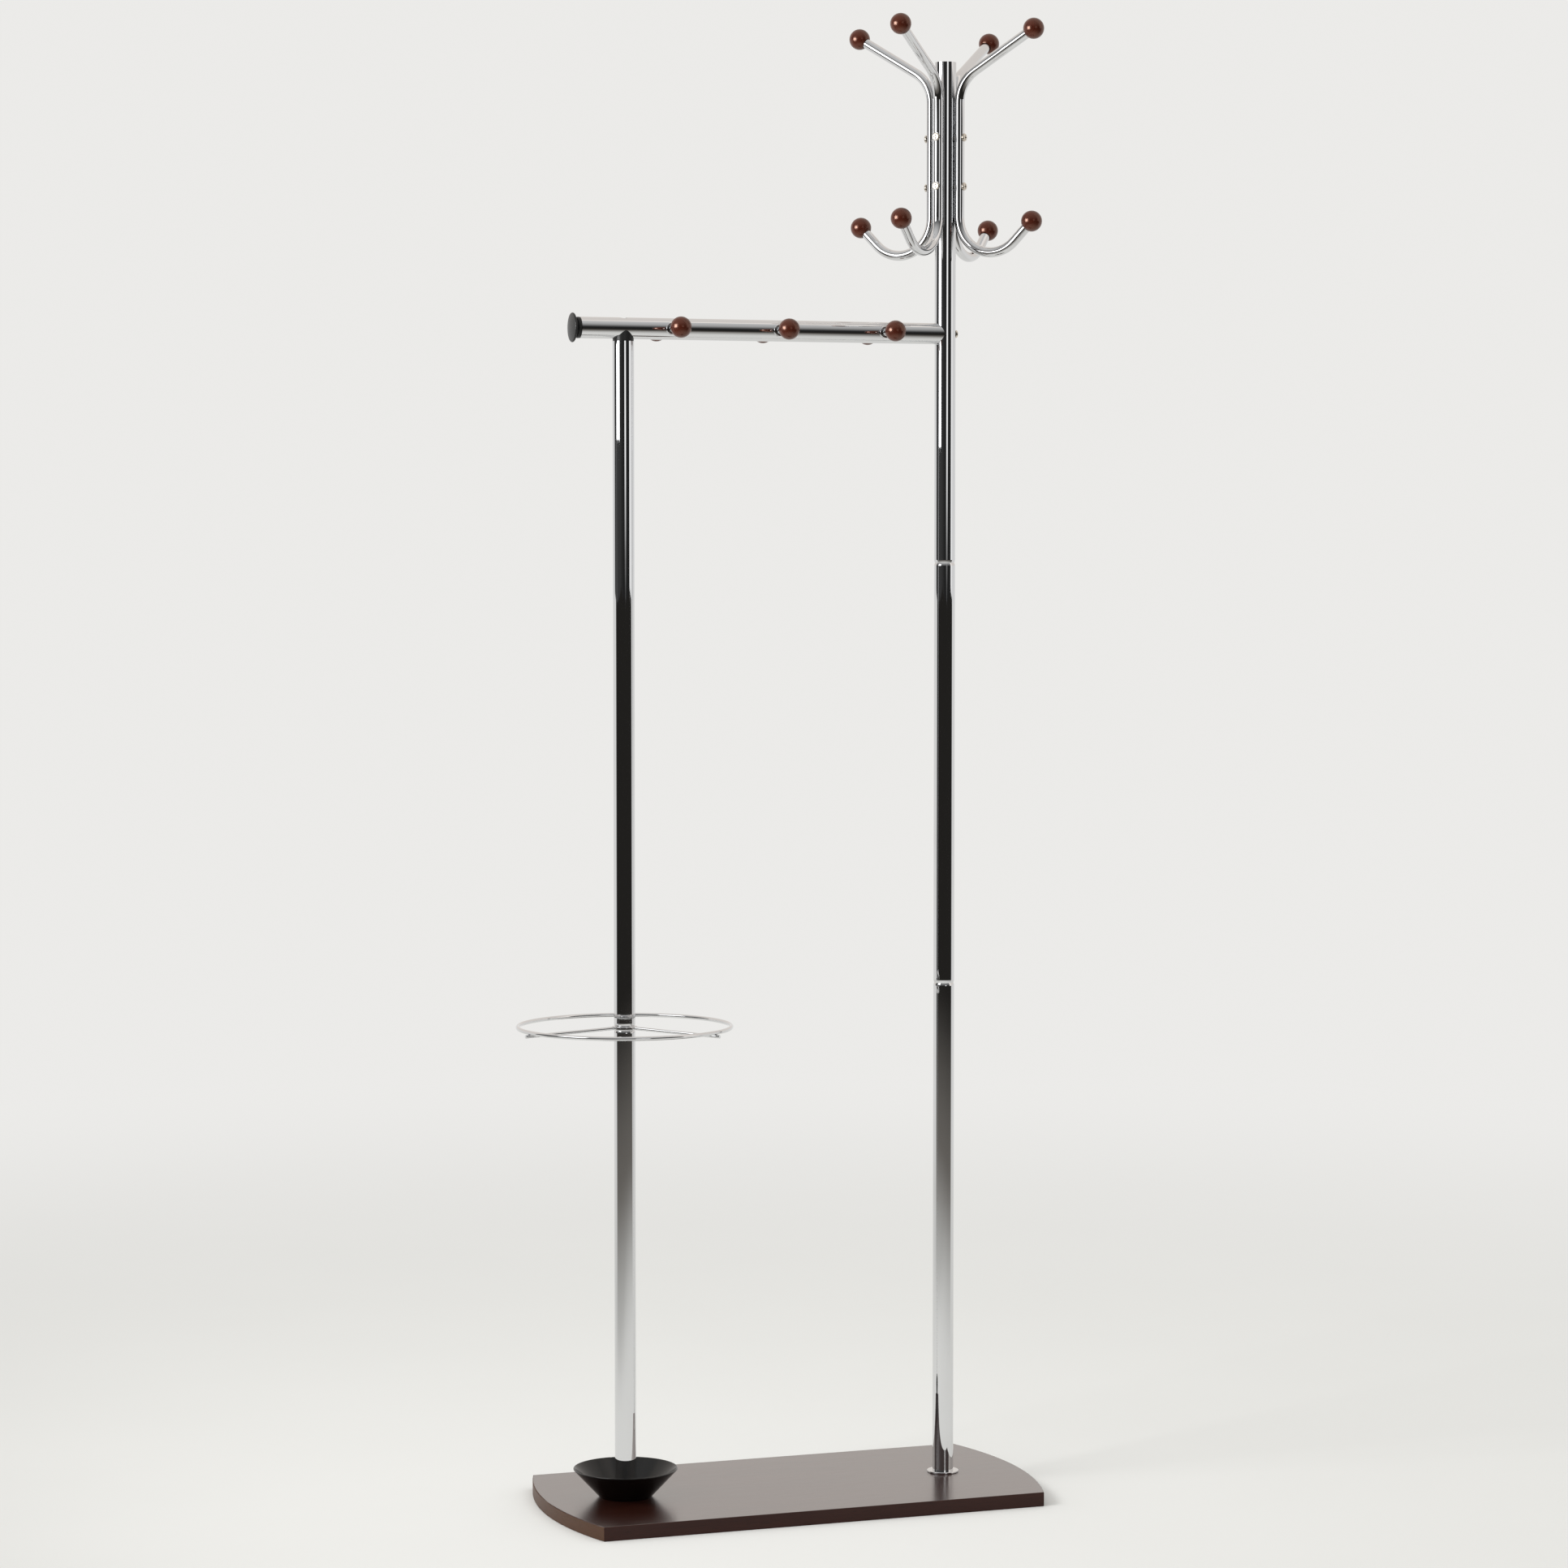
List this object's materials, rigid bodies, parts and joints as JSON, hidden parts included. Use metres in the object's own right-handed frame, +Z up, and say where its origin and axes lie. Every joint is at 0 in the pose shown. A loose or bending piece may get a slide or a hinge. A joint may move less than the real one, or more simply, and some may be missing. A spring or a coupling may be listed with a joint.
{
  "type": "standing coat rack",
  "caption": "Two-post chromed coat rack with branching hooks, a side bar with ball knobs, an umbrella ring and a drip bowl on a bowed wooden base.",
  "frame": {"origin": "centre of the base board's underside, on the floor", "axes": "+X along the bar from the short post to the tall post, +Y to the back, +Z up along the posts"},
  "size_m": [0.6352, 0.295, 1.7735],
  "materials": {
    "chrome": "polished chrome plate",
    "ball_wood": "dark red-brown stain under satin lacquer",
    "base_wood": "dark brown veneer, satin",
    "black_plastic": "satin moulded",
    "bowl_black": "satin black enamel",
    "nickel_screw": "nickel plate",
    "zinc_steel": "bright zinc"
  },
  "bodies": {
    "rack": {"bar_ball_1_front": "ball_wood", "bar_ball_1_rear": "ball_wood", "bar_ball_2_front": "ball_wood", "bar_ball_2_rear": "ball_wood", "bar_ball_3_front": "ball_wood", "bar_ball_3_rear": "ball_wood", "bar_end_cap": "black_plastic", "bar_end_insert": "zinc_steel", "bar_knob_rods": "zinc_steel", "bar_knob_stem_1_front": "chrome", "bar_knob_stem_1_rear": "chrome", "bar_knob_stem_2_front": "chrome", "bar_knob_stem_2_rear": "chrome", "bar_knob_stem_3_front": "chrome", "bar_knob_stem_3_rear": "chrome", "bar_post_bolt": "nickel_screw", "bar_post_coupler": "zinc_steel", "bar_post_lower_tube": "chrome", "bar_post_upper_tube": "chrome", "bar_saddle": "black_plastic", "bar_saddle_bolt": "nickel_screw", "bar_saddle_nut": "zinc_steel", "base_board": "base_wood", "base_bolts": "zinc_steel", "base_washers": "zinc_steel", "cross_bar": "chrome", "drip_bowl": "bowl_black", "hook_ball_back_left_low": "ball_wood", "hook_ball_back_left_top": "ball_wood", "hook_ball_back_right_low": "ball_wood", "hook_ball_back_right_top": "ball_wood", "hook_ball_front_left_low": "ball_wood", "hook_ball_front_left_top": "ball_wood", "hook_ball_front_right_low": "ball_wood", "hook_ball_front_right_top": "ball_wood", "hook_ball_studs": "zinc_steel", "hook_rivet_nuts": "zinc_steel", "hook_screws": "nickel_screw", "hook_tube_back_left": "chrome", "hook_tube_back_right": "chrome", "hook_tube_front_left": "chrome", "hook_tube_front_right": "chrome", "main_post_flange": "chrome", "main_post_lower_coupler": "zinc_steel", "main_post_lower_tube": "chrome", "main_post_middle_tube": "chrome", "main_post_top_plug": "black_plastic", "main_post_upper_coupler": "zinc_steel", "main_post_upper_tube": "chrome", "post_foot_nuts": "zinc_steel"},
    "umbrella_ring": {"umbrella_ring_wire": "chrome", "umbrella_ring_spokes": "chrome", "umbrella_ring_hub": "chrome"}
  },
  "joints": [
    {"name": "umbrella_ring_turn", "type": "hinge", "parent": "rack", "child": "umbrella_ring", "pos_m": [-0.203, 0, 0.5778], "axis": [0, 0, 1], "continuous": true}
  ]
}
